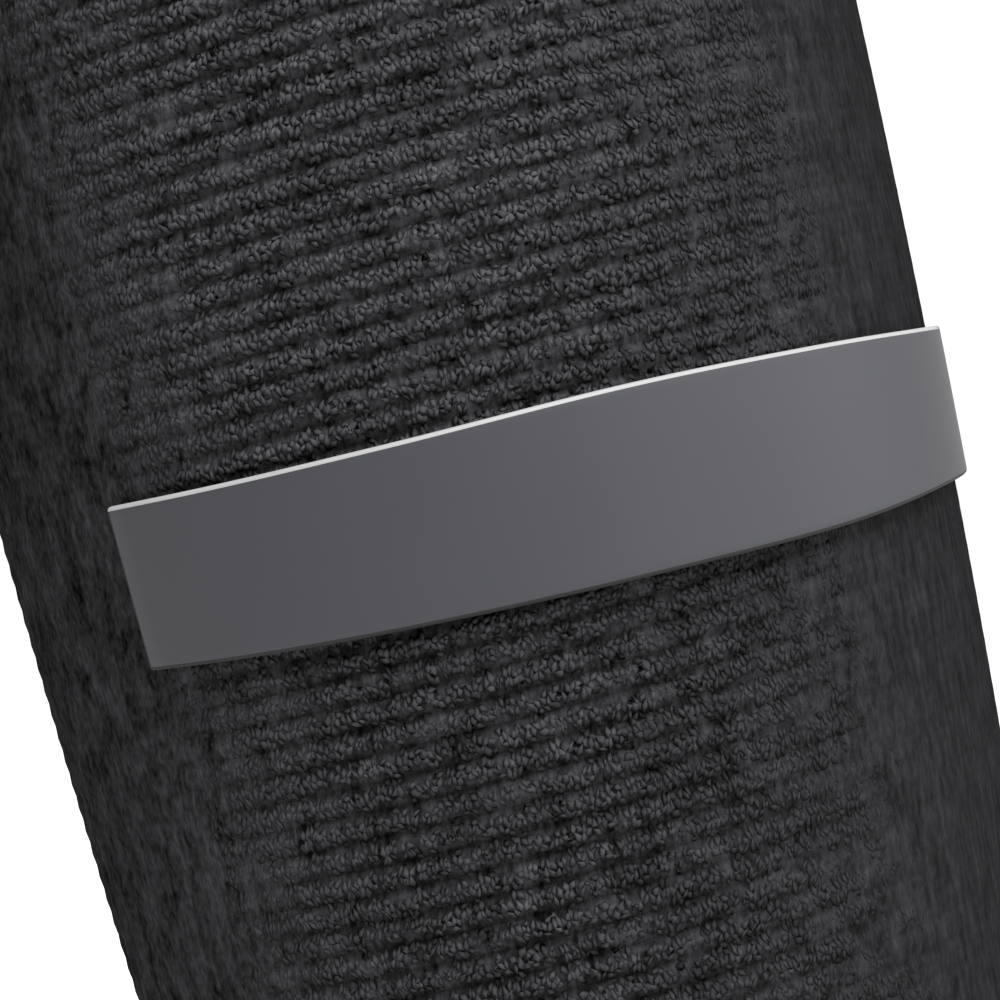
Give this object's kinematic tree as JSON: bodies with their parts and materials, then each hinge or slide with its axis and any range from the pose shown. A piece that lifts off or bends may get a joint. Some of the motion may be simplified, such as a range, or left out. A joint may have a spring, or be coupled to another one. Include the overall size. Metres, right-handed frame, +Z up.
{
  "type": "elbow support",
  "caption": "Ribbed knitted elbow sleeve in a worn, slightly bent form, open at both ends, with a smooth grey band bonded part of the way round its forearm end.",
  "frame": {"origin": "middle of the elbow, on the arm's line inside the tube", "axes": "+Z up towards the upper arm, the forearm points down and towards +X, the bend lies in the XZ plane, and -Y is the side that the picture shows"},
  "size_m": [0.1127, 0.0898, 0.2664],
  "materials": {
    "knit": "matt rough ribbed knit, charcoal",
    "band": "smooth satin grey with a pale bevelled edge"
  },
  "bodies": {
    "root": {"knit_sleeve": "knit", "front_band": "band"}
  },
  "joints": []
}
